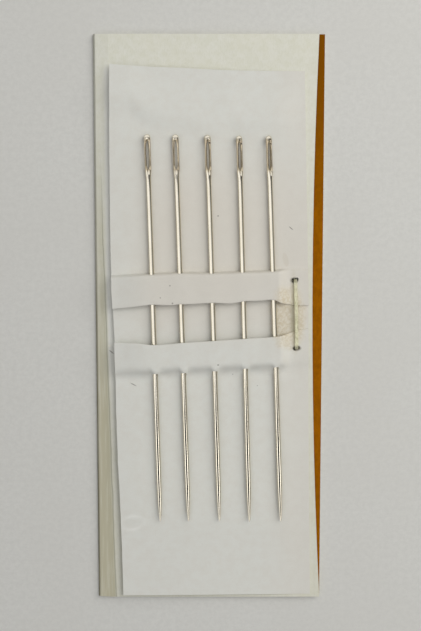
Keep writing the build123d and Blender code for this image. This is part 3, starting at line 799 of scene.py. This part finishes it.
def buildLeaf():
    # Rows run along the sheet and columns across it. The columns bend at the two sides to follow the
    # cut edges, the folds follow their own lines, and the rim of each hole is snapped to a true oval.
    a = radians(leaf["turn"])
    q, columns = leafRows(), leafColumns()
    flatV = leafPoint(np.zeros_like(q), q)[:, 0]
    left = throughPoints(flatV, leftAlong, leftAcross)
    right = throughPoints(flatV, rightAlong, rightAcross)
    atLeft = smooth((leaf["leftBend"][0] - columns) / leaf["leftBend"][1])
    atRight = smooth((columns - leaf["rightBend"][0]) / leaf["rightBend"][1])
    u = (
        columns[None, :]
        + (left - columns[0])[:, None] * atLeft[None, :]
        + (right - columns[-1])[:, None] * atRight[None, :]
    )
    q = np.repeat(q[:, None], len(columns), axis=1)
    jitter = np.random.default_rng(7).normal(0.0, 1.0, (len(flatV), 2))
    jitter = (jitter + np.roll(jitter, 1, axis=0)) * leaf["ragged"]
    u[:, 0] += jitter[:, 0]
    u[:, -1] += jitter[:, 1]

    # each needle pierces four slopes, and each leg of the staple all layers
    gone = np.zeros(u.shape, bool)
    point = leafPoint(u, q)
    base = sheetHeight(u)
    for k, place in enumerate(leaf["needles"]):
        lean = np.tan(radians(leaf["leans"][k]))
        height = sheetHeight(place) + leaf["thickness"] / 2 + leaf["holeHeight"]
        for piece in rim["pieces"]:
            onPiece = q[:, 0] - 2 * piece
            rows = (onPiece > -rim["corner"]) & (onPiece < 1 + rim["corner"])
            du = u[rows] - (place - lean * point[rows][..., 0])
            dz = point[rows][..., 1] - height
            rho = np.hypot(du, dz) / leaf["hole"]
            inside = rho < 1.0
            # a point inside moves sideways and along the slope until it is on the rim
            slopeQ = np.gradient(point[rows][..., 1], axis=0) / np.gradient(q[rows], axis=0)
            least = rim["leastSlope"] * np.sign(slopeQ + 1e-9)
            slopeQ = np.where(np.abs(slopeQ) < rim["leastSlope"], least, slopeQ)
            out = np.where(inside, 1.0 / np.maximum(rho, rim["leastOut"]), 1.0)
            alongQ = np.clip(dz * (out - 1.0) / slopeQ, -rim["furthest"], rim["furthest"])
            u[rows] += np.where(inside, du * (out - 1.0), 0.0)
            q[rows] += np.where(inside, alongQ, 0.0)
            gone[rows] |= inside
    point = leafPoint(u, q)
    v, z = point[..., 0], point[..., 1]

    # the staple's legs
    lengthwise = radians(leaf["turn"] - staple["turn"])
    lengthwise = np.array([sin(lengthwise), cos(lengthwise)])
    centre = np.array(toRow([staple["middle"]])).ravel()
    for end in (1.0, -1.0):
        leg = centre + end * staple["reach"] * lengthwise
        du, dv = u - leg[0], v - leg[1]
        rho = np.hypot(du / staple["holeAcross"], dv / staple["holeAlong"])
        inside = rho < 1.0
        out = np.where(inside, 1.0 / np.maximum(rho, 2 * rim["leastOut"]), 1.0)
        u = u + np.where(inside, du * (out - 1.0), 0.0)
        v = v + np.where(inside, dv * (out - 1.0), 0.0)
        gone |= inside

    # paper sags between the needles where it stands free, and more at the lower pleat's root
    raised = leafRaise(u)
    places = np.array(leaf["needles"])
    nearest = np.abs(u[..., None] - places).min(axis=-1) - sag["beside"]
    free = np.clip((z - base - sag["clear"]) / sag["rise"], 0.0, 1.0)
    inRow = smooth((u - places[0]) / sag["rowEase"]) * smooth((places[-1] - u) / sag["rowEase"])
    nearRoot = smooth((-v - sag["rootFrom"]) / sag["rootRun"])
    z = z - sag["depth"] * free * inRow * smooth(nearest / sag["ease"]) * raised
    z = z - sag["rootDepth"] * free * nearRoot * smooth(nearest / sag["rootEase"]) * raised
    x = leaf["middle"] + u * cos(a) - v * sin(a)
    y = u * sin(a) + v * cos(a)
    flatSheet = 1.0 - smooth((z - base) / leaf["thickness"])
    outside = smooth((np.abs(v) - uneven["flatFrom"]) / uneven["flatRun"])
    z = z + waves(x, y) * outside * flatSheet

    rowsCount, columnsCount = u.shape
    points = np.stack([x, y, z], axis=2).reshape(-1, 3)
    faces = gridFaces(rowsCount, columnsCount)
    keep = ~gone.reshape(-1)[faces].all(axis=1)
    made = meshObject("paperLeaf", points, faces[keep].tolist(), paperFinish)
    work = bmesh.new()
    work.from_mesh(made.data)
    work.faces.ensure_lookup_table()
    # the sheet's upper side is the one that faces up at its head
    top = max(work.faces, key=lambda f: f.calc_center_median().y)
    if top.normal.z < 0:
        bmesh.ops.reverse_faces(work, faces=work.faces)
    for edge in work.edges:
        if edge.is_boundary:
            edge.smooth = False
    work.to_mesh(made.data)
    work.free()
    thicken = made.modifiers.new("paper thickness", "SOLIDIFY")
    thicken.thickness = leaf["thickness"] * mm
    thicken.offset = 0.0
    return made


paperLeaf = buildLeaf()
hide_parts("needle_leaf")
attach(paperLeaf, "carrier")
print("leaf made", len(paperLeaf.data.polygons))


# Staple


def buildStaple():
    # The wire's line lies in an upright plane: clinch, bend, leg, bend, crown and back. Its section is
    # a rounded rectangle, |x / wide|^4 + |y / high|^4 = 1.
    s = staple
    inner = s["reach"] - s["bend"]

    def bendLine(height, start):
        # a quarter turn of the wire about a centre at this height
        angles = np.linspace(start, start + pi / 2, s["bendPoints"])
        return [(inner + s["bend"] * cos(t), height + s["bend"] * sin(t)) for t in angles]

    clinchAt = np.linspace(s["reach"] - s["clinchLength"], inner, s["clinchPoints"] + 1)[:-1]
    crownAt = np.linspace(inner, -inner, s["crownPoints"] + 2)[1:-1]
    bends = bendLine(s["clinch"] + s["bend"], -pi / 2) + bendLine(s["crown"] - s["bend"], 0.0)
    half = np.array([(y, s["clinch"]) for y in clinchAt] + bends)
    crownLine = [(y, s["crown"]) for y in crownAt]
    line = np.concatenate([half, crownLine, half[::-1] * [-1, 1]])
    ahead = np.gradient(line, axis=0)
    ahead /= np.linalg.norm(ahead, axis=1)[:, None]
    outward = np.stack([-ahead[:, 1], ahead[:, 0]], axis=1)
    turn = np.linspace(0.0, 2 * pi, s["sectionPoints"])
    cx = s["wide"] * np.sign(np.cos(turn)) * np.abs(np.cos(turn)) ** 0.5
    cy = s["high"] * np.sign(np.sin(turn)) * np.abs(np.sin(turn)) ** 0.5
    onTop = line[:, 1] > (s["clinch"] + s["crown"]) / 2
    bow = s["bow"] * (1.0 - (line[:, 0] / s["reach"]) ** 2) * onTop
    across = cx[None, :] + bow[:, None]
    along = line[:, 0][:, None] + outward[:, 0][:, None] * cy[None, :]
    height = line[:, 1][:, None] + outward[:, 1][:, None] * cy[None, :]
    a = radians(s["turn"])
    x = s["middle"][0] + across * cos(a) - along * sin(a)
    y = s["middle"][1] + across * sin(a) + along * cos(a)
    points = np.stack([x, y, height], axis=2).reshape(-1, 3)
    rows, columns = x.shape
    faces = gridFaces(rows, columns).tolist()
    faces.append(list(range(columns - 1)))
    faces.append([(rows - 1) * columns + i for i in range(columns - 1)])
    return meshObject("stapleWire", points, faces, wireFinish, s["sharp"])


stapleWire = buildStaple()
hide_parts("staple")
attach(stapleWire, "carrier")
print("staple made")


# Table, light and what the polished steel sees

room = {
    "floor": 3000.0, "window": (285.0, 165.0, 300.0), "windowSize": 400.0, "windowPower": 1.42,
    "windowTint": "#fffdfa", "skyTint": "#fbfbff",
}


def tableTop():
    # pale grey sheet with a fine even grain
    made, tree, shader, coords = newMaterial("tableTop")
    place = coords.outputs["Object"]
    grain = noise(tree, place, 0.9, 6.0, 0.75)
    broad = noise(tree, place, 22.0, 2.0)
    colour = mixColour(tree, remap(tree, grain, 0.35, 0.65), linear("#dcdcd6"), linear("#d5d5cf"))
    setInputs(tree, shader, {
        "Base Color": paint(tree, colour, "#d6d5ce", remap(tree, broad, 0.3, 0.7, 0.0, 0.4)),
        "Roughness": 0.9,
        "Specular IOR Level": 0.15,
        "Normal": bump(tree, grain, 0.15, 0.15),
    })
    return made


def buildFloor():
    half = room["floor"] / 2
    corners = [(-half, -half, 0.0), (half, -half, 0.0), (half, half, 0.0), (-half, half, 0.0)]
    made = meshObject("floor", corners, [[0, 1, 2, 3]], tableTop())
    if made.data.polygons[0].normal.z < 0:
        made.data.flip_normals()
    made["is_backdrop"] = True


def windowLight():
    # daylight from a window behind the card at the right, which polished steel doesn't see as a lamp
    light = bpy.data.lights.new("window", "AREA")
    light.shape = "RECTANGLE"
    light.size = room["windowSize"] * mm
    light.size_y = room["windowSize"] * mm
    light.energy = room["windowPower"]
    light.color = linear(room["windowTint"])[:3]
    lamp = bpy.data.objects.new("window", light)
    scene.collection.objects.link(lamp)
    lamp.location = Vector(room["window"]) * mm
    lamp.rotation_euler = (-lamp.location).to_track_quat("-Z", "Y").to_euler()
    lamp.visible_glossy = False


def skyWorld():
    # A bright ceiling that fades to a darker room towards the horizon. Polished steel sees more of the
    # room: most of it is a wall and ceiling that are bright at the left and overhead and dim at the
    # right, dimmer past the card's middle and bright again further back. In a band in front, both sides
    # are lit and the ceiling between them is dark, which draws the stripes on the needles' lower halves.
    world = bpy.data.worlds.new("room")
    scene.world = world
    world.use_nodes = True
    tree = world.node_tree
    towards = addNode(tree, "TexCoord").outputs["Generated"]
    lean = addNode(tree, "VectorMath", {0: towards, 1: (-0.2, -0.2, 0.96)}, operation="DOT_PRODUCT")
    level = remap(tree, lean.outputs["Value"], 0.45, 0.85, 0.10, 0.66)
    x, y, z = addNode(tree, "SeparateXYZ", {0: towards}).outputs
    side = maths(tree, "ARCTAN2", x, z)
    back = times(
        tree,
        remap(tree, side, radians(-90), radians(-72), 0.1, 1.35),
        remap(tree, side, radians(14), radians(34), 1.0, 0.3),
        remap(tree, side, radians(60), radians(80), 1.0, 0.12),
        remap(tree, y, 0.022, 0.036, 1.0, 0.42),
    )
    back = maths(tree, "MAXIMUM", back, remap(tree, y, 0.12, 0.25, 0.0, 1.1))
    frontLeft = remap(tree, side, radians(-46), radians(-37), 2.6, 0.0)
    frontRight = remap(tree, side, radians(31), radians(40), 0.0, 4.2)
    front = times(
        tree,
        maths(tree, "ADD", frontLeft, frontRight),
        remap(tree, side, radians(48), radians(57), 1.0, 0.03),
        remap(tree, side, radians(-72), radians(-62), 0.04, 1.0),
    )
    inBand = times(
        tree,
        remap(tree, y, -0.205, -0.155, 1.0, 0.0),
        remap(tree, y, -0.55, -0.38, 0.0, 1.0),
    )
    seen = addNode(tree, "Mix", {0: inBand, 2: back, 3: front}, data_type="FLOAT").outputs[0]
    glossy = addNode(tree, "LightPath").outputs["Is Glossy Ray"]
    strength = addNode(tree, "Mix", {0: glossy, 2: level, 3: seen}, data_type="FLOAT").outputs[0]
    setInputs(tree, tree.nodes["Background"], {"Color": linear(room["skyTint"]), "Strength": strength})


buildFloor()
windowLight()
skyWorld()
print("stage and lights set")

made = [[list(corner) for corner in box] for box in (cadBox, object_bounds())]
